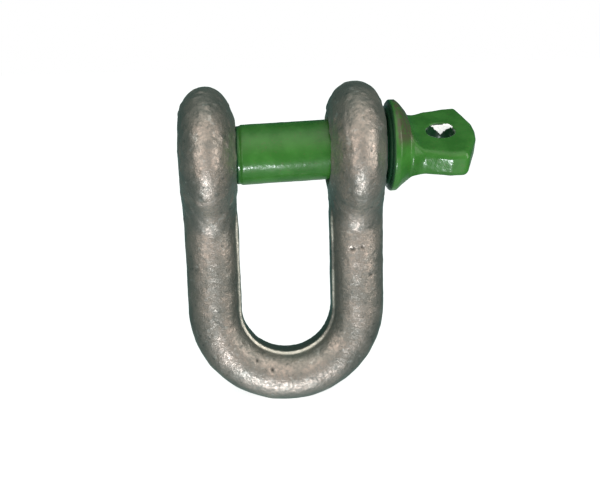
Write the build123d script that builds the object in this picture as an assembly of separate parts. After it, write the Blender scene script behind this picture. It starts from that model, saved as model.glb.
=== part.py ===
from build123d import *

import os
from math import cos, pi, sin

# Forged D shackle with a screw collar pin. Millimetres and degrees.
# The origin is on the pin's axis, midway between the two eyes. +X runs along the pin to its
# head, +Z from the bow up to the pin, and Y through the thickness of the eyes.

# Driving dimensions
bar_dia = 10.0  # round bar of the legs and the bow
jaw_width = 17.2  # clear width between the eyes
inside_length = 32.2  # from the underside of the pin to the inside of the bow
pin_dia = 11.0  # plain shank of the pin
eye_dia = 24.8  # across the round eye
eye_thickness = 10.2  # along the pin
eye_flat_dia = 9.0  # the eye's sides curve away outside this diameter
pin_clearance = 0.5  # radial, in the plain eye
thread_pitch = 1.5
thread_depth = 0.6  # radial, on the pin and in the tapped eye
thread_gap = 0.1  # radial, between the pin's crests and the eye's crests
collar_dia = 16.8
head_turn = 24.0  # the flat head's turn about the pin, from level
head_width = 17.8  # across the flat head at its widest
head_thickness = 5.2
head_hole_dia = 5.4

# Worked out from the driving dimensions
bar_radius = bar_dia / 2
pin_radius = pin_dia / 2
eye_radius = eye_dia / 2
half_jaw = jaw_width / 2
leg_x = half_jaw + bar_radius
eye_x = half_jaw + eye_thickness / 2
eye_face_x = half_jaw + eye_thickness
bow_z = half_jaw - pin_radius - inside_length
plain_hole_radius = pin_radius + pin_clearance
pin_crest_radius = pin_radius - 0.15
pin_root_radius = pin_crest_radius - thread_depth
tapped_crest_radius = pin_crest_radius + thread_gap
mouth = 0.6  # chamfer at the mouth of each hole

# Neck between the round leg and the eye: (height, half the width through Y)
neck_sections = (
    (-eye_radius - 5.0, bar_radius),
    (-eye_radius - 0.6, bar_radius + 1.3),
    (-0.65 * eye_radius, 0.75 * eye_radius),
    (-0.35 * eye_radius, 0.88 * eye_radius),
)

# Threaded end and shank of the pin
tip_x = -eye_face_x + 0.2
lead_in = 0.6  # plain end ahead of the first thread
thread_end_x = -half_jaw - 0.9
shoulder_start_x = -half_jaw + 0.1  # the undercut behind the thread ends here
shoulder_x = -half_jaw + 1.2  # the full shank starts here
shoulder_step = 0.45

# Collar and the waist behind it: (distance behind the collar's rim, radius)
seat_x = eye_face_x + 0.15  # the collar's underside stops just short of the plain eye
rim_x = seat_x + 1.3
rim_width = 0.9
waist_points = ((2.9, 6.4), (3.6, 6.4))

# Flat head
neck_x = rim_x + waist_points[-1][0]
runout = 1.8  # length over which the round waist runs out into the flats
root_x = rim_x + 2.0  # the flat head starts here, inside the waist
root_half_width = 6.2
waist_half_width = 6.9  # of the flat head, where the round waist ends
widest_x = neck_x + 8.6
end_x = neck_x + 12.0
end_half_width = 2.0  # the two slopes at the end leave this much of it square
hole_x = neck_x + 5.45
head_corner_radius = 1.0
head_edge_radius = 1.1


def turned(profile):
    """A solid of revolution about the pin's axis, from (x, radius) points and the axis."""
    outline = Polyline(*profile, close=True)
    face = make_face(Plane.XY * outline)
    return revolve(face, Axis.X)


def thread_profile(first_x, last_x, crest, root):
    """(x, radius) points of a V thread drawn as rings, from first_x to last_x."""
    turns = int((last_x - first_x) / thread_pitch)
    points = [(first_x, crest)]
    for turn in range(turns):
        ring_x = first_x + turn * thread_pitch
        points.append((ring_x + 0.15 * thread_pitch, crest))
        points.append((ring_x + 0.5 * thread_pitch, root))
        points.append((ring_x + 0.85 * thread_pitch, crest))
    points.append((last_x, crest))
    return points


def rim_arc(steps=10):
    """Points of the eye's rim in X and radius: an elliptical rounding of each side."""
    flat_radius = eye_flat_dia / 2
    depth = eye_radius - flat_radius
    points = []
    for step in range(2 * steps + 1):
        angle = -pi / 2 + pi * step / (2 * steps)
        points.append((eye_thickness / 2 * sin(angle), flat_radius + depth * cos(angle)))
    return points


def eye(side):
    """Round eye with its sides rounded over to the rim."""
    rim = [(side * eye_x + x, radius) for x, radius in rim_arc()]
    left, right = rim[0], rim[-1]
    with BuildPart() as part:
        with BuildSketch(Plane.XY):
            with BuildLine():
                Polyline((right[0], 0), (left[0], 0), left)
                Spline(*rim, tangents=((0, 1), (0, -1)))
                Line(right, (right[0], 0))
            make_face()
        revolve(axis=Axis.X)
    return part.part


def neck(side):
    """Smooth widening of the leg into the eye."""
    blend = []
    for height, half_width in neck_sections:
        share = (half_width - bar_radius) / (neck_sections[-1][1] - bar_radius)
        centre_x = leg_x + share * (eye_x - leg_x)
        half_depth = bar_radius + share * (eye_thickness / 2 - bar_radius)
        place = Location((side * centre_x, 0, height))
        blend.append(place * Ellipse(half_depth, half_width))
    return loft(blend)


def leg(side):
    """Straight round leg from the bow up to the neck."""
    length = neck_sections[0][0] - bow_z
    base = Location((side * leg_x, 0, bow_z))
    return base * Cylinder(bar_radius, length, align=(Align.CENTER, Align.CENTER, Align.MIN))


def bow():
    """Half ring that joins the legs."""
    section = Location((leg_x, 0, bow_z)) * Circle(bar_radius)
    return revolve(section, Axis((0, 0, bow_z), (0, 1, 0)), 180)


def plain_hole():
    """Clearance hole through the right eye, with chamfered mouths."""
    inner, outer = half_jaw - 1, eye_face_x + 1
    wide = plain_hole_radius + mouth
    profile = [(inner, 0), (inner, wide), (half_jaw, wide)]
    profile += [(half_jaw + mouth, plain_hole_radius), (eye_face_x - mouth, plain_hole_radius)]
    profile += [(eye_face_x, wide), (outer, wide), (outer, 0)]
    return turned(profile)


def tapped_hole():
    """Tapped hole through the left eye: the pin's thread passes its crests with a gap."""
    crest = tapped_crest_radius
    root = crest + thread_depth
    wide = crest + mouth
    profile = [(-eye_face_x - 1, 0), (-eye_face_x - 1, wide), (-eye_face_x, wide)]
    profile += thread_profile(-eye_face_x + mouth, -half_jaw - mouth, crest, root)
    profile += [(-half_jaw, wide), (-half_jaw + 1, wide), (-half_jaw + 1, 0)]
    return turned(profile)


def shackle_body():
    """Bow, legs, necks and eyes as one forging, with its two holes."""
    body = bow()
    for side in (-1, 1):
        body += leg(side)
        body += neck(side)
        body += eye(side)
    body -= plain_hole()
    body -= tapped_hole()
    return body


def shaft():
    """Threaded end, shank, collar and neck, turned about the pin's axis."""
    rim_radius = collar_dia / 2
    runout_x = neck_x + runout
    profile = [(tip_x, 0), (tip_x, pin_root_radius)]
    profile += thread_profile(tip_x + lead_in, thread_end_x, pin_crest_radius, pin_root_radius)
    profile += [(thread_end_x, pin_root_radius), (shoulder_start_x, pin_root_radius)]
    profile += [(shoulder_start_x, pin_radius - shoulder_step), (shoulder_x, pin_radius)]
    profile += [(seat_x, pin_radius), (rim_x, rim_radius), (rim_x + rim_width, rim_radius)]
    profile += [(rim_x + behind, radius) for behind, radius in waist_points]
    profile += [(runout_x, head_thickness / 2), (runout_x, 0)]
    return turned(profile)


def head():
    """Flat flared head, rounded at its edges, with a hole for a mousing wire or a bar."""
    side = [(root_x, root_half_width), (neck_x, waist_half_width)]
    side += [(widest_x, head_width / 2), (end_x, end_half_width)]
    outline = side + [(x, -y) for x, y in reversed(side)]
    plate = extrude(make_face(Polyline(*outline, close=True)), head_thickness / 2, both=True)
    corners = [edge for edge in plate.edges().filter_by(Axis.Z) if edge.center().X > widest_x - 0.1]
    plate = fillet(corners, head_corner_radius)
    rims = [edge for edge in plate.edges() if edge.center().X > root_x + 0.1]
    rims = [edge for edge in rims if abs(abs(edge.center().Z) - head_thickness / 2) < 0.01]
    plate = fillet(rims, head_edge_radius)
    return Rotation(head_turn, 0, 0) * plate


def screw_pin():
    """Screw pin with collar and flat head, as one piece."""
    pin = shaft() + head()
    bore_start = Rotation(head_turn, 0, 0) * Location((hole_x, 0, 0))
    return pin - bore_start * Cylinder(head_hole_dia / 2, 2 * head_thickness)


os.makedirs("parts", exist_ok=True)
export_step(shackle_body(), "parts/shackle_body.step")
export_step(screw_pin(), "parts/screw_pin.step")
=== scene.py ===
import math

import bpy
import numpy as np
from mathutils import Matrix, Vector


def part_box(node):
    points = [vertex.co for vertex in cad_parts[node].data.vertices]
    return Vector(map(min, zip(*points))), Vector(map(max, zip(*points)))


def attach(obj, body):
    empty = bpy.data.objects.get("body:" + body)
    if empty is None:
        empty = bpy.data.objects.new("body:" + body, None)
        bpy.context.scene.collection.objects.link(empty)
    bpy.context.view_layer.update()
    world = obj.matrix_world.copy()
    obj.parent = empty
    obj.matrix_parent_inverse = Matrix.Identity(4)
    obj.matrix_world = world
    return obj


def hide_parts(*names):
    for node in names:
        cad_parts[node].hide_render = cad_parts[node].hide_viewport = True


# D shackle: a galvanised forging and its green painted screw pin. Shapes are worked out in
# millimetres as distance fields, meshed on a fine grid, and scaled to metres at the end.
# X runs along the pin to its head, Z from the bow up to the pin, Y through the eyes' thickness.

MM = 0.001

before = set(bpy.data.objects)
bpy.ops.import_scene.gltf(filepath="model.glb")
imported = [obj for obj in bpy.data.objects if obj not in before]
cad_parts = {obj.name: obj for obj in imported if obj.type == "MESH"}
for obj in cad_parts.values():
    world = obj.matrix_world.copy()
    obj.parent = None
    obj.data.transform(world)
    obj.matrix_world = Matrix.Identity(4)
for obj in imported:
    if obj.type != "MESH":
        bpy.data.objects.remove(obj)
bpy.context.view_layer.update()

# Body
BAR_R = 5.0
BEND_R = 13.6  # centreline of the bow
BEND_Z = -29.3
PLAIN_BAR_Z = BEND_Z + 4  # below this the bar is plain
EYE_X = 13.7
LEFT_EYE_R, RIGHT_EYE_R = 12.35, 12.6
RIGHT_EYE_INSET = 0.12
EYE_HALF = 5.1
EYE_ROUND = 7.9  # how far the eye's sides round over, inwards from its rim
LEFT_FULLNESS, RIGHT_FULLNESS = 0.35, 0.9  # of the eyes' tops, past an ellipse
FULLNESS_RISE = 8.0
SIDE_BLEND = 4.0  # the left half's values turn into the right half's this far about the middle
BOSS_RISE, BOSS_WIDTH = 0.3, 2.0  # low swelling round each hole on the inner side
FLASH_HALF, FLASH_TOP = 1.95, 5.03  # trimmed parting line along the inside of the U
FLASH_END_Z = -7.0
FLASH_DIP, FLASH_DIP_Z, FLASH_DIP_LENGTH = 1.2, -12.0, 5.0  # it sinks into the neck
FLASH_FILLET = 0.35
NECK_FILLET = 2.9
NECK_LOW, NECK_HIGH = -16.0, -6.0
PLAIN_HOLE_R = 6.1
PLAIN_HOLE_Z = 0.1
MOUTH_ROUND = 0.7
TAP_CREST_R = 5.45
THREAD_DEPTH = 0.6
THREAD_PITCH = 1.5
FLANK_END, FLANK = 0.42, 0.34  # shares of the pitch, from the middle of a root

# Pin
SHANK_R = 5.5
CREST_R = 5.35
TIP_X = -18.6
TIP_CHAMFER, TIP_DROP = 0.7, 0.6
THREAD_FADE = 0.8  # the thread starts and ends over this length
THREAD_END_X = -9.4
UNDERCUT_DEPTH = 0.5  # behind the thread
UNDERCUT_END_X = -8.7
SHOULDER_X = -7.4
SHOULDER_DROP, SHOULDER_LENGTH = 0.2, 0.35
SEAT_X = 18.95
HEAD_TURN = math.radians(24.0)
HEAD_HALF_T = 2.5
HOLE_X = 29.3
HOLE_R = 2.65
HOLE_ROUND = 0.45
PIN_TILT = math.tan(math.radians(1.8))  # the pin lies askew in its holes, by its play
PIN_PIVOT_X = 0.5


# ---------------------------------------------------------------- distance-field helpers
def smooth_min(a, b, k):
    """Union of two fields whose join is rounded over about k millimetres."""
    h = np.clip(0.5 + 0.5 * (b - a) / k, 0.0, 1.0)
    return b * (1 - h) + a * h - k * h * (1 - h)


def smooth_max(a, b, k):
    """Intersection of two fields with a rounded edge."""
    return -smooth_min(-a, -b, k)


def round_union(a, b, r):
    """Union of two fields with a round fillet of radius r."""
    corner = np.hypot(np.maximum(r - a, 0), np.maximum(r - b, 0))
    return np.maximum(r, np.minimum(a, b)) - corner


def ease(t):
    """0 to 1 with soft ends."""
    t = np.clip(t, 0.0, 1.0)
    return t * t * (3 - 2 * t)


def round_max(a, b, r):
    """Intersection of two fields with an edge rounded to radius r."""
    return -round_union(-a, -b, r)


def polygon_field(u, v, points):
    """Signed distance from (u, v) to a closed polygon, negative inside."""
    nearest = np.full(u.shape, 1e9)
    inside = np.zeros(u.shape, bool)
    for (au, av), (bu, bv) in zip(points, points[1:] + points[:1]):
        eu, ev = bu - au, bv - av
        t = np.clip(((u - au) * eu + (v - av) * ev) / (eu * eu + ev * ev), 0, 1)
        gap = (u - au - t * eu) ** 2 + (v - av - t * ev) ** 2
        nearest = np.minimum(nearest, gap)
        if bv != av:
            crosses = (av > v) != (bv > v)
            inside ^= crosses & (u < eu * (v - av) / (bv - av) + au)
    return np.sqrt(nearest) * np.where(inside, -1.0, 1.0)


def surface_net(field, low, high, step):
    """Closed quad mesh of field = 0 inside the box, as (vertices, quads)."""
    axes = [np.arange(a, b + step, step) for a, b in zip(low, high)]
    counts = [len(a) for a in axes]
    values = np.empty(counts, np.float32)
    for i, x in enumerate(axes[0]):
        y, z = np.meshgrid(axes[1], axes[2], indexing="ij")
        values[i] = field(np.full(y.shape, x), y, z)
    inside = values < 0

    total = np.zeros([c - 1 for c in counts] + [3])
    hits = np.zeros([c - 1 for c in counts])
    for axis in range(3):
        others = [a for a in range(3) if a != axis]
        for da in (0, 1):
            for db in (0, 1):
                start = [slice(0, c - 1) for c in counts]
                start[others[0]] = slice(da, counts[others[0]] - 1 + da)
                start[others[1]] = slice(db, counts[others[1]] - 1 + db)
                stop = list(start)
                stop[axis] = slice(1, counts[axis])
                a, b = values[tuple(start)], values[tuple(stop)]
                crosses = inside[tuple(start)] != inside[tuple(stop)]
                t = np.where(crosses, a / np.where(crosses, a - b, 1), 0)
                point = np.zeros(total.shape)
                point[..., axis] = t
                point[..., others[0]] = da
                point[..., others[1]] = db
                total += point * crosses[..., None]
                hits += crosses
    active = hits > 0
    index = np.full(active.shape, -1)
    index[active] = np.arange(active.sum())
    base = np.argwhere(active).astype(float)
    vertices = (base + total[active] / hits[active][:, None]) * step + np.array(
        [a[0] for a in axes]
    )

    quads = []
    for axis in range(3):
        b, c = [(1, 2), (2, 0), (0, 1)][axis]
        low_side = [slice(None)] * 3
        high_side = [slice(None)] * 3
        low_side[axis] = slice(0, -1)
        high_side[axis] = slice(1, None)
        change = inside[tuple(low_side)] != inside[tuple(high_side)]
        where = np.argwhere(change)
        keep = (where[:, b] > 0) & (where[:, c] > 0)
        keep &= (where[:, b] < counts[b] - 1) & (where[:, c] < counts[c] - 1)
        where = where[keep]
        step_b, step_c = np.eye(3, dtype=int)[b], np.eye(3, dtype=int)[c]
        corners = [where - step_b - step_c, where - step_c, where, where - step_b]
        ids = np.stack([index[tuple(p.T)] for p in corners], 1)
        outward = inside[tuple(low_side)][tuple(where.T)]
        ids[~outward] = ids[~outward][:, ::-1]
        quads.append(ids)
    return vertices, np.concatenate(quads)


def gradient(field, p, d=0.02):
    """Gradient of the field at the points."""
    parts = []
    for axis in range(3):
        step = np.zeros(3)
        step[axis] = d
        above = field(*(p + step).T)
        below = field(*(p - step).T)
        parts.append((above - below) / (2 * d))
    return np.stack(parts, 1)


def pull_to_surface(field, p, step, rounds=4):
    """Moves the points onto field = 0."""
    for _ in range(rounds):
        g = gradient(field, p)
        size = np.maximum((g * g).sum(1), 0.05)
        move = g * (field(*p.T) / size)[:, None]
        length = np.linalg.norm(move, axis=1)
        move *= np.minimum(1, 0.5 * step / np.maximum(length, 1e-9))[:, None]
        p = p - move
    return p


def relax(p, quads, share=0.5):
    """Moves each point part of the way to the middle of its neighbours."""
    total = np.zeros_like(p)
    count = np.zeros(len(p))
    for a, b in ((0, 1), (1, 2), (2, 3), (3, 0)):
        np.add.at(total, quads[:, a], p[quads[:, b]])
        np.add.at(total, quads[:, b], p[quads[:, a]])
        np.add.at(count, quads[:, a], 1)
        np.add.at(count, quads[:, b], 1)
    return p + share * (total / count[:, None] - p)


def noise(p, scale, seed):
    """Smooth value noise from -1 to 1, one bump about every scale millimetres."""
    table = np.random.RandomState(seed).uniform(-1, 1, 4096)
    q = p / scale + 100.0
    base = np.floor(q).astype(int)
    f = q - base
    f = f * f * f * (f * (6 * f - 15) + 10)
    result = 0
    for i in (0, 1):
        for j in (0, 1):
            for k in (0, 1):
                key = (base[:, 0] + i) * 7919 + (base[:, 1] + j) * 104729
                key = (key + (base[:, 2] + k) * 1299709) % 4096
                weight = (f[:, 0] if i else 1 - f[:, 0]) * (f[:, 1] if j else 1 - f[:, 1])
                result = result + table[key] * weight * (f[:, 2] if k else 1 - f[:, 2])
    return result


# ---------------------------------------------------------------- the forging
def body_solid(x, y, z):
    """Bow, legs, necks and eyes, without the holes."""
    right = ease((x + SIDE_BLEND) / (2 * SIDE_BLEND))
    disc = np.hypot(y, z) - LEFT_EYE_R - (RIGHT_EYE_R - LEFT_EYE_R) * right
    strip = np.maximum(np.abs(y) - BAR_R, z)
    outline = round_union(disc, strip, NECK_FILLET)
    outline = np.where(z < PLAIN_BAR_Z, np.abs(y) - BAR_R, outline)
    share = ease((z - NECK_LOW) / (NECK_HIGH - NECK_LOW))
    rounding = BAR_R + share * (EYE_ROUND - BAR_R)
    half = BAR_R + share * (EYE_HALF - BAR_R)
    centre = BEND_R + share * (EYE_X - BEND_R - RIGHT_EYE_INSET * right)
    inward = np.where(z < BEND_Z, BEND_R - np.hypot(x, z - BEND_Z), centre - np.abs(x))
    boss = BOSS_RISE * (1 - ease((np.hypot(y, z) - PLAIN_HOLE_R) / BOSS_WIDTH))
    half = half + np.where(inward > 0, boss, 0)
    rise = np.maximum(rounding + outline, 0) / rounding
    fullness = LEFT_FULLNESS + (RIGHT_FULLNESS - LEFT_FULLNESS) * right
    power = 2 + fullness * ease(z / FULLNESS_RISE)
    bar = ((rise**power + (np.abs(inward) / half) ** 2) ** 0.5 - 1) * half
    lifted = FLASH_TOP - FLASH_DIP * ease((z - FLASH_DIP_Z) / FLASH_DIP_LENGTH)
    flash = np.maximum(np.abs(y) - FLASH_HALF, np.maximum(inward - lifted, -inward))
    flash = np.maximum(flash, z - FLASH_END_Z)
    return smooth_min(bar, flash, FLASH_FILLET)


def thread_wave(x, angle):
    """0 on the crests and 1 in the roots of a right-hand thread with flats on its crests."""
    phase = (x / THREAD_PITCH - angle / (2 * math.pi)) % 1.0
    return np.clip((FLANK_END - np.abs(phase - 0.5)) / FLANK, 0, 1)


def pin_axis_z(x):
    """Height of the pin's axis."""
    return (x - PIN_PIVOT_X) * PIN_TILT


def body_field(x, y, z):
    """The forging with its plain hole on the right and its tapped hole on the left."""
    solid = body_solid(x, y, z)
    plain = PLAIN_HOLE_R - np.hypot(y, z - PLAIN_HOLE_Z)
    high = z - pin_axis_z(x)
    tapped = TAP_CREST_R + THREAD_DEPTH * thread_wave(x, np.arctan2(high, y))
    hole = np.where(x > 0, plain, tapped - np.hypot(y, high))
    return smooth_max(solid, hole, MOUTH_ROUND)


# ---------------------------------------------------------------- the pin
COLLAR_PROFILE = [
    # (x, radius)
    (SEAT_X + 0.3, 0.0),
    (SEAT_X + 0.3, 6.5),
    (19.4, 6.9),
    (19.65, 7.0),
    (19.8, 7.9),
    (19.95, 8.1),
    (20.7, 8.1),
    (21.1, 7.75),
    (22.7, 6.15),
    (23.4, 6.15),
    (24.5, 6.75),
    (25.7, 7.25),
    (26.8, 7.8),
    (29.0, 9.2),
    (31.5, 9.9),
    (37.0, 9.9),
    (37.0, 0.0),
]
COLLAR_ROUND = 0.3
WAIST_LIFT = -0.3  # the waist was forged a little off centre
LIFT_START, LIFT_LENGTH = 21.3, 1.5
HEAD_SKEW = 0.1  # one corner of the flat end reaches further than the other
NEAR_SKEW_SHARE = 0.3
SKEW_START, SKEW_LENGTH = 26.0, 4.0
HEAD_OUTLINE = [
    # (x, half the width)
    (18.0, 0.0),
    (18.0, 9.0),
    (22.8, 9.0),
    (23.4, 7.2),
    (25.4, 6.65),
    (28.0, 7.15),
    (30.4, 7.75),
    (32.4, 7.85),
    (34.5, 2.1),
    (34.75, 0.0),
]
HEAD_CORNER = 1.1
FLAT_ROUND = 1.3
FLAT_END_ROUND = 0.6  # where the flats meet the waist
SCOOP_X, SCOOP_R = 26.0, 3.0  # the flats curve up into the waist
ROOT_SLOPE = 3.0
HEAD_FILLET = 0.5


def head_axes(y, z):
    """Distances along the flat head's width and up from its middle plane."""
    along = y * math.cos(HEAD_TURN) + z * math.sin(HEAD_TURN)
    up = -y * math.sin(HEAD_TURN) + z * math.cos(HEAD_TURN)
    return along, up


def shaft_field(x, radius, angle):
    """Threaded end, undercut and shank."""
    lead = np.clip((x - TIP_X) / THREAD_FADE, 0, 1)
    lead = lead * np.clip((THREAD_END_X - x) / THREAD_FADE, 0, 1)
    thread = CREST_R - THREAD_DEPTH * thread_wave(x, angle) * lead
    thread = thread - TIP_DROP * np.clip(1 - (x - TIP_X) / TIP_CHAMFER, 0, 1)
    undercut = ease((x - THREAD_END_X) / 0.3) * (1 - ease((x - UNDERCUT_END_X) / 0.4))
    rising = ease((x - SHOULDER_X + SHOULDER_LENGTH) / SHOULDER_LENGTH)
    shank = SHANK_R - SHOULDER_DROP * (1 - rising) - UNDERCUT_DEPTH * undercut
    outer = np.where(x < THREAD_END_X, thread, shank)
    return np.maximum(radius - outer, np.maximum(TIP_X - x, x - SEAT_X - 1))


def head_field(x, y, z):
    """Collar, waist and flat head with its hole."""
    along, up = head_axes(y, z)
    lifted = z - WAIST_LIFT * ease((x - LIFT_START) / LIFT_LENGTH)
    turned = polygon_field(x, np.hypot(y, lifted), COLLAR_PROFILE) - COLLAR_ROUND
    lean = np.maximum(along, NEAR_SKEW_SHARE * along)
    skewed = x - HEAD_SKEW * lean * ease((x - SKEW_START) / SKEW_LENGTH)
    outline = polygon_field(skewed, np.abs(along), HEAD_OUTLINE) - HEAD_CORNER
    reach = np.clip(SCOOP_X - x, 0, SCOOP_R)
    half_t = HEAD_HALF_T + SCOOP_R - np.sqrt(SCOOP_R**2 - reach**2)
    half_t = half_t + ROOT_SLOPE * np.clip(SCOOP_X - SCOOP_R - x, 0, 3)
    head = round_max(outline, np.abs(up) - half_t, FLAT_ROUND)
    head = round_max(head, turned, FLAT_END_ROUND)
    bore = HOLE_R - np.hypot(x - HOLE_X, along)
    return smooth_max(head, bore, HOLE_ROUND)


def pin_field(x, y, z):
    """Threaded end, shank, collar, waist and flat head, askew."""
    z = z - pin_axis_z(x)
    shaft = shaft_field(x, np.hypot(y, z), np.arctan2(z, y))
    return smooth_min(shaft, head_field(x, y, z), HEAD_FILLET)


# ---------------------------------------------------------------- meshes
def add_object(name, vertices, quads):
    """Object from millimetre vertices, smooth shaded."""
    mesh = bpy.data.meshes.new(name)
    mesh.from_pydata((vertices * MM).tolist(), [], quads.tolist())
    mesh.update()
    mesh.polygons.foreach_set("use_smooth", [True] * len(mesh.polygons))
    obj = bpy.data.objects.new(name, mesh)
    bpy.context.scene.collection.objects.link(obj)
    return obj


def build(name, field, relief, low, high, step):
    """Meshes a field, evens out its quads and raises the fine relief along its normals."""
    vertices, quads = surface_net(field, low, high, step)
    vertices = pull_to_surface(field, vertices, step)
    for _ in range(2):
        vertices = relax(vertices, quads)
        vertices = pull_to_surface(field, vertices, step, 2)
    normals = gradient(field, vertices)
    normals /= np.maximum(np.linalg.norm(normals, axis=1), 1e-6)[:, None]
    return add_object(name, vertices + normals * relief(vertices)[:, None], quads)


PAINT_START_X = -8.2
PITS = [
    # (x, z, radius, depth): dents on the front of the forging
    (12.2, -17.8, 0.45, 0.28),
    (14.0, -17.5, 0.4, 0.2),
    (15.7, -22.9, 0.35, 0.25),
    (-3.2, -40.6, 0.5, 0.3),
    (-6.1, -38.7, 0.4, 0.22),
]


def zinc_relief(p):
    """Shallow waves, small lumps and a few pits of a hot-dipped coating."""
    waves = 0.05 * noise(p, 5.0, 1) + 0.045 * noise(p, 1.9, 2)
    grain = 0.022 * noise(p, 0.8, 3)
    lumps = np.maximum(noise(p, 1.3, 4) - 0.35, 0) * 0.27
    near_eye = ease((p[:, 2] + 14) / 6)
    relief = waves + grain + lumps * (0.35 + 0.65 * near_eye)
    for x, z, radius, depth in PITS:
        away = np.hypot(p[:, 0] - x, p[:, 2] - z)
        relief = relief - np.where(p[:, 1] < 0, depth * (1 - ease(away / radius / 1.6)), 0)
    return relief - 0.02


def paint_relief(p):
    """Slightly uneven thick paint, and none on the thread."""
    on_thread = p[:, 0] < PAINT_START_X
    return np.where(on_thread, 0, 0.03 * noise(p, 3.0, 11) + 0.02 * noise(p, 1.1, 12))


GRID = 0.3
BODY_BOX = (-20.1, -13.6, -49.1), (20.2, 13.6, 13.8)
PIN_BOX = (-19.6, -9.6, -9.6), (38.0, 9.6, 9.6)

forging = build("forged_body", body_field, zinc_relief, *BODY_BOX, GRID)
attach(forging, "body")
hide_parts("shackle_body")

pin = build("painted_pin", pin_field, paint_relief, *PIN_BOX, GRID * 0.75)
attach(pin, "pin")
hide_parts("screw_pin")


# ---------------------------------------------------------------- materials
def add(tree, kind, inputs, **settings):
    """Node with its settings made and its inputs set or linked."""
    node = tree.nodes.new(kind)
    for name, value in settings.items():
        setattr(node, name, value)
    for name, value in inputs.items():
        if isinstance(value, bpy.types.NodeSocket):
            tree.links.new(value, node.inputs[name])
        else:
            node.inputs[name].default_value = value
    return node


def mask(obj, name, values):
    """Stores one number per vertex for the material to read."""
    attribute = obj.data.attributes.new(name, "FLOAT", "POINT")
    attribute.data.foreach_set("value", np.asarray(values, np.float32))


def start_material(name):
    """New material, its node tree, its object coordinates and its shader."""
    material = bpy.data.materials.new(name)
    material.use_nodes = True
    tree = material.node_tree
    coords = add(tree, "ShaderNodeTexCoord", {}).outputs["Object"]
    return material, tree, coords, tree.nodes["Principled BSDF"]


def speckle(tree, coords, size_mm, low, high, detail=2.0):
    """Noise cut to run from 0 below low to 1 above high."""
    field = add(
        tree,
        "ShaderNodeTexNoise",
        {"Vector": coords, "Scale": 1000.0 / size_mm, "Detail": detail, "Roughness": 0.55},
    )
    return add(
        tree,
        "ShaderNodeMapRange",
        {"Value": field.outputs["Fac"], "From Min": low, "From Max": high},
        interpolation_type="SMOOTHSTEP",
    ).outputs["Result"]


def multiply(tree, a, b):
    return add(tree, "ShaderNodeMath", {0: a, 1: b}, operation="MULTIPLY").outputs[0]


def blend(tree, share, below, above):
    """Colour mixed from one to the other by share."""
    node = add(tree, "ShaderNodeMix", {"Factor": share}, data_type="RGBA")
    for socket, value in ((node.inputs[6], below), (node.inputs[7], above)):
        if isinstance(value, bpy.types.NodeSocket):
            tree.links.new(value, socket)
        else:
            socket.default_value = (*value, 1)
    return node.outputs[2]


def vertex_mask(tree, name):
    return add(tree, "ShaderNodeAttribute", {}, attribute_name=name).outputs["Fac"]


def grain_bump(tree, coords, texture, strength, distance):
    """Normal roughened by a fine noise with the given settings."""
    grain = add(tree, "ShaderNodeTexNoise", {"Vector": coords, **texture}).outputs["Fac"]
    bump = {"Height": grain, "Strength": strength, "Distance": distance}
    return add(tree, "ShaderNodeBump", bump).outputs["Normal"]


ZINC_MASKS = [
    # (vertex mask, colour), each laid over those before
    # painted shade inside the U, where the legs keep light off each other
    ("inner_painted_shade", (0.15, 0.18, 0.165)),
    # painted shade, near black, in the dents
    ("pit_painted_shade", (0.05, 0.05, 0.045)),
    # painted shade on the parting line's upward flat
    ("flash_flat_painted_shade", (0.16, 0.16, 0.13)),
    # painted highlight: a cream line along the parting line's edge
    ("flash_edge_painted_highlight", (0.92, 0.88, 0.78)),
]


def zinc_material():
    """Blotched and speckled zinc with a blue-green cast at grazing angles. It has painted shade
    inside the U, in the pits and on the parting line's flat, and a painted highlight along the
    parting line's edge.
    """
    material, tree, coords, shader = start_material("galvanised_steel")
    blotches = speckle(tree, coords, 5.0, 0.38, 0.62, 4.0)
    fine = speckle(tree, coords, 0.6, 0.40, 0.65, 4.0)
    dark = speckle(tree, coords, 1.1, 0.62, 0.70, 3.0)
    bright = speckle(tree, coords, 1.3, 0.60, 0.72, 4.0)
    color = blend(tree, blotches, (0.43, 0.385, 0.345), (0.61, 0.505, 0.445))
    color = blend(tree, multiply(tree, fine, 0.55), color, (0.31, 0.30, 0.28))
    color = blend(tree, multiply(tree, dark, 0.5), color, (0.15, 0.16, 0.15))
    color = blend(tree, multiply(tree, bright, 0.45), color, (0.88, 0.85, 0.81))
    for name, shade in ZINC_MASKS:
        color = blend(tree, vertex_mask(tree, name), color, shade)
    tree.links.new(color, shader.inputs["Base Color"])
    shader.inputs["Metallic"].default_value = 0.8
    shader.inputs["Specular Tint"].default_value = (0.25, 0.62, 0.58, 1)
    shader.inputs["Sheen Weight"].default_value = 0.07
    shader.inputs["Sheen Roughness"].default_value = 0.4
    shader.inputs["Sheen Tint"].default_value = (0.1, 0.8, 0.85, 1)
    rough = add(tree, "ShaderNodeMapRange", {"Value": fine, "To Min": 0.36, "To Max": 0.54})
    tree.links.new(rough.outputs["Result"], shader.inputs["Roughness"])
    texture = {"Scale": 1200.0, "Detail": 5.0, "Roughness": 0.62}
    normal = grain_bump(tree, coords, texture, 0.8, 0.00017)
    tree.links.new(normal, shader.inputs["Normal"])
    return material


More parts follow.
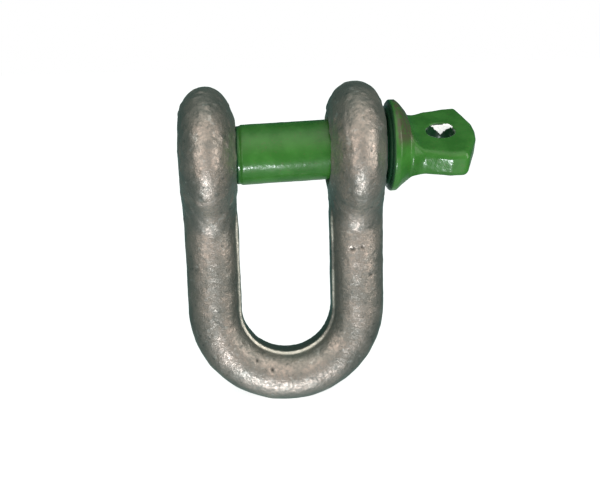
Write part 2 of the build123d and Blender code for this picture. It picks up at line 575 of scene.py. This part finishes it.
def paint_material():
    """Glossy green paint, dusty where worn, with painted shade beside the eyes and on the wall of
    the head's hole, and a glowing white patch there as a painted glint.
    """
    material, tree, coords, shader = start_material("green_paint")
    shade = speckle(tree, coords, 4.0, 0.35, 0.65, 3.0)
    specks = speckle(tree, coords, 0.5, 0.58, 0.70, 2.0)
    color = blend(tree, shade, (0.045, 0.20, 0.027), (0.066, 0.255, 0.042))
    worn = multiply(tree, vertex_mask(tree, "worn"), speckle(tree, coords, 0.8, 0.22, 0.55, 4.0))
    color = blend(tree, worn, color, (0.105, 0.11, 0.06))
    color = blend(tree, multiply(tree, specks, 0.35), color, (0.11, 0.15, 0.05))
    # painted shade: dark blue-green in the gaps beside the eyes and on the hole's wall
    color = blend(tree, vertex_mask(tree, "painted_shade"), color, (0.012, 0.06, 0.035))
    # painted glint: a white patch with a ragged edge on the far wall of the head's hole
    edge = speckle(tree, coords, 0.7, 0.3, 0.7, 2.0)
    ragged = {0: edge, 1: 0.16, 2: vertex_mask(tree, "painted_glint")}
    ragged = add(tree, "ShaderNodeMath", ragged, operation="MULTIPLY_ADD").outputs[0]
    painted_glint = {"Value": ragged, "From Min": 0.55, "From Max": 0.62}
    painted_glint = add(tree, "ShaderNodeMapRange", painted_glint).outputs["Result"]
    color = blend(tree, painted_glint, color, (0.95, 0.95, 0.93))
    tree.links.new(color, shader.inputs["Base Color"])
    # the painted glint also glows
    glint = blend(tree, painted_glint, (0, 0, 0), (1, 1, 1))
    tree.links.new(glint, shader.inputs["Emission Color"])
    shader.inputs["Emission Strength"].default_value = 0.6
    shader.inputs["Roughness"].default_value = 0.22
    normal = grain_bump(tree, coords, {"Scale": 1500.0, "Detail": 3.0}, 0.3, 0.00012)
    tree.links.new(normal, shader.inputs["Normal"])
    return material


def points(obj):
    """Vertices of an object in millimetres, before it rides its body."""
    flat = np.empty(len(obj.data.vertices) * 3)
    obj.data.vertices.foreach_get("co", flat)
    return flat.reshape(-1, 3) / MM


def forging_masks(obj):
    """Masks of the painted highlight along the parting line, and of the painted shade on its flat,
    inside the U and in the pits.
    """
    x, y, z = points(obj).T
    inward = np.where(z < BEND_Z, BEND_R - np.hypot(x, z - BEND_Z), BEND_R - np.abs(x))
    on_flash = (inward > 3.9) & (z < -9)
    line = 1 - ease(np.abs(np.abs(y) - FLASH_HALF) / 0.33)
    patches = 0.2 + 0.8 * ease((noise(points(obj), 2.6, 21) - 0.1) / 0.3)
    kept = np.where(x > 6, patches, 1)
    # painted highlight along the edge of the parting line
    mask(obj, "flash_edge_painted_highlight", 0.9 * line * kept * on_flash)
    # painted shade on the flat of the parting line, which faces up
    mask(obj, "flash_flat_painted_shade", 0.6 * (1 - ease((np.abs(y) - 1.2) / 0.6)) * on_flash)
    # painted shade on the inside of the U, below the eyes
    below_eye = ease((-6 - z) / 6)
    mask(obj, "inner_painted_shade", 0.5 * ease((inward - 1.8) / 2.6) * below_eye * (y < 3))
    # painted shade, near black, in the dents on the front
    dark = np.zeros(len(x))
    for pit_x, pit_z, radius, _ in PITS:
        away = np.hypot(x - pit_x, z - pit_z)
        dark = np.maximum(dark, np.where(y < 0, 1 - ease(away / radius / 1.3), 0))
    mask(obj, "pit_painted_shade", dark)


def pin_masks(obj):
    """Masks of the worn paint, the painted shade in the gaps beside the eyes and on the hole's
    wall, and the painted glint in the hole.
    """
    x, y, z = points(obj).T
    z = z - pin_axis_z(x)
    along, up = head_axes(y, z)
    collar = ease((z + 0.5) / 3) * ease((x - 19.95) / 0.4) * (1 - ease((x - 22.8) / 1.0))
    shank = 0.35 * ease((x - 5) / 4) * ease((z - 1) / 3) * (x < 15)
    mask(obj, "worn", collar + shank)

    # painted shade on the hole's wall, beside the left eye and at the collar's seat
    in_hole = np.hypot(x - HOLE_X, along) < HOLE_R + 0.25
    wall = 0.85 * (in_hole & (np.abs(up) < HEAD_HALF_T - 0.2))
    beside_left_eye = 0.9 * (x > -9.2) * (1 - ease((x + 8.35) / 0.5))
    seat = 0.9 * (1 - ease((x - 19.6) / 0.35)) * (x > 15)
    mask(obj, "painted_shade", np.maximum(wall, np.maximum(beside_left_eye, seat)))

    # painted glint: a white wedge on the far wall of the head's hole
    depth = HEAD_HALF_T - up
    side = np.abs(x - HOLE_X - 0.55 - 0.06 * depth)
    wedge = np.clip(0.5 + (2.4 * (1 - side / 2.05) - depth) * 0.5, 0, 1)
    far_wall = in_hole & (along > 0.5) & (up > -1.5)
    below_rim = 0.8 * up + 0.6 * along < 3.3
    mask(obj, "painted_glint", wedge * (far_wall & below_rim))


forging_masks(forging)
pin_masks(pin)
forging.data.materials.append(zinc_material())
pin.data.materials.append(paint_material())


# ---------------------------------------------------------------- camera
YAW = math.radians(4.0)
PITCH = math.radians(12.64)
ROLL = math.radians(-1.545)
CAMERA_SHIFT = np.array([-3.341, -17.972, 165.556])  # to the object's origin, in camera axes
LEVEL_AXES = np.array([[1, 0, 0], [0, 0, -1], [0, 1, 0]], float)  # right, down, forward


def turn(axis, angle):
    """Rotation matrix about one axis."""
    c, s = math.cos(angle), math.sin(angle)
    matrix = np.eye(3)
    a, b = [(1, 2), (2, 0), (0, 1)][axis]
    matrix[a, a] = matrix[b, b] = c
    matrix[a, b], matrix[b, a] = -s, s
    return matrix


def add_camera():
    """Camera a little above and to the side, looking at the front."""
    to_camera = turn(2, ROLL) @ LEVEL_AXES @ turn(0, PITCH) @ turn(2, YAW)
    place = -to_camera.T @ CAMERA_SHIFT * MM
    axes = to_camera.T @ np.diag([1.0, -1.0, -1.0])
    camera = bpy.data.objects.new("camera", bpy.data.cameras.new("camera"))
    bpy.context.scene.collection.objects.link(camera)
    camera.data.lens = 54
    camera.data.sensor_width = 36
    camera.data.clip_start = 0.01
    camera.matrix_world = Matrix(np.block([[axes, place[:, None]], [0, 0, 0, 1]]).tolist())
    bpy.context.scene.camera = camera


# ---------------------------------------------------------------- stage and light
AMBIENT = (0.03, 0.085, 0.08)
LIGHT_BLOBS = [
    # (direction, reach in degrees, colour)
    ((0, -1, 0.1), 50, (0.13, 0.12, 0.115)),
    ((0, -1, 1.2), 50, (0.72, 0.62, 0.57)),
    ((0, -0.3, 1), 50, (0.28, 0.34, 0.33)),
    ((0, -1, -1.1), 30, (0.55, 0.55, 0.55)),
    ((0, -0.2, -1), 50, (0.34, 0.35, 0.35)),
    ((0.1, 1, -0.6), 42, (0.35, 0.35, 0.35)),
]


def emission_world():
    """Soft light, brightest from the front, over a dim blue-green. White to the camera."""
    world = bpy.data.worlds.new("studio")
    world.use_nodes = True
    bpy.context.scene.world = world
    tree = world.node_tree
    tree.nodes.clear()
    coords = add(tree, "ShaderNodeTexCoord", {}).outputs["Generated"]
    total = AMBIENT
    for direction, reach, color in LIGHT_BLOBS:
        unit = np.array(direction, float) / np.linalg.norm(direction)
        dot = add(tree, "ShaderNodeVectorMath", {0: coords, 1: unit}, operation="DOT_PRODUCT")
        edge = math.cos(math.radians(reach))
        fade = {"Value": dot.outputs["Value"], "From Min": edge, "From Max": 1.0}
        fade = add(tree, "ShaderNodeMapRange", fade, interpolation_type="SMOOTHSTEP")
        glow = {0: fade.outputs["Result"], 1: color, 2: total}
        total = add(tree, "ShaderNodeVectorMath", glow, operation="MULTIPLY_ADD").outputs["Vector"]
    camera_ray = add(tree, "ShaderNodeLightPath", {}).outputs["Is Camera Ray"]
    felt = add(tree, "ShaderNodeBackground", {"Color": total}).outputs[0]
    seen = add(tree, "ShaderNodeBackground", {"Color": (1, 1, 1, 1)}).outputs[0]
    mix = add(tree, "ShaderNodeMixShader", {0: camera_ray, 1: felt, 2: seen})
    add(tree, "ShaderNodeOutputWorld", {"Surface": mix.outputs[0]})


def area_light(name, place_mm, aim_mm, size_mm, watts, color):
    """Rectangular light that the camera doesn't see."""
    light = bpy.data.lights.new(name, "AREA")
    light.shape = "RECTANGLE"
    light.size = size_mm[0] * MM
    light.size_y = size_mm[1] * MM
    light.energy = watts
    light.color = color
    obj = bpy.data.objects.new(name, light)
    bpy.context.scene.collection.objects.link(obj)
    back = np.array(place_mm, float) - np.array(aim_mm, float)
    back /= np.linalg.norm(back)
    right = np.cross([0, 0, 1.0], back)
    right /= np.linalg.norm(right)
    up = np.cross(back, right)
    matrix = np.eye(4)
    matrix[:3, 0], matrix[:3, 1], matrix[:3, 2] = right, up, back
    matrix[:3, 3] = np.array(place_mm, float) * MM
    obj.matrix_world = Matrix(matrix.tolist())
    obj.visible_camera = False


def floor():
    """Pale floor that only the camera sees, with the object's soft shadow on it."""
    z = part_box("shackle_body")[0].z
    r = 3.0
    corners = [(-r, -r, z), (r, -r, z), (r, r, z), (-r, r, z)]
    ground = bpy.data.meshes.new("floor")
    ground.from_pydata(corners, [], [(0, 1, 2, 3)])
    obj = bpy.data.objects.new("floor", ground)
    bpy.context.scene.collection.objects.link(obj)
    material = bpy.data.materials.new("floor")
    material.use_nodes = True
    shader = material.node_tree.nodes["Principled BSDF"]
    shader.inputs["Base Color"].default_value = (0.8, 0.8, 0.8, 1)
    shader.inputs["Roughness"].default_value = 1.0
    shader.inputs["Specular IOR Level"].default_value = 0.0
    shader.inputs["Emission Color"].default_value = (1, 1, 1, 1)
    shader.inputs["Emission Strength"].default_value = 0.85
    obj.data.materials.append(material)
    obj.visible_diffuse = False
    obj.visible_glossy = False
    obj.visible_shadow = False


add_camera()
emission_world()
floor()
area_light("low", (-20, -207, -217), (0, 0, 0), (16, 16), 0.27, (0.9, 0.96, 1.0))
area_light("left", (-60, -85, 10), (-30, 0, -10), (50, 100), 0.031, (1.0, 0.93, 0.87))
area_light("right", (88, -70, 10), (30, 0, -10), (50, 100), 0.048, (1.0, 0.93, 0.87))
bpy.context.scene.view_settings.view_transform = "Standard"
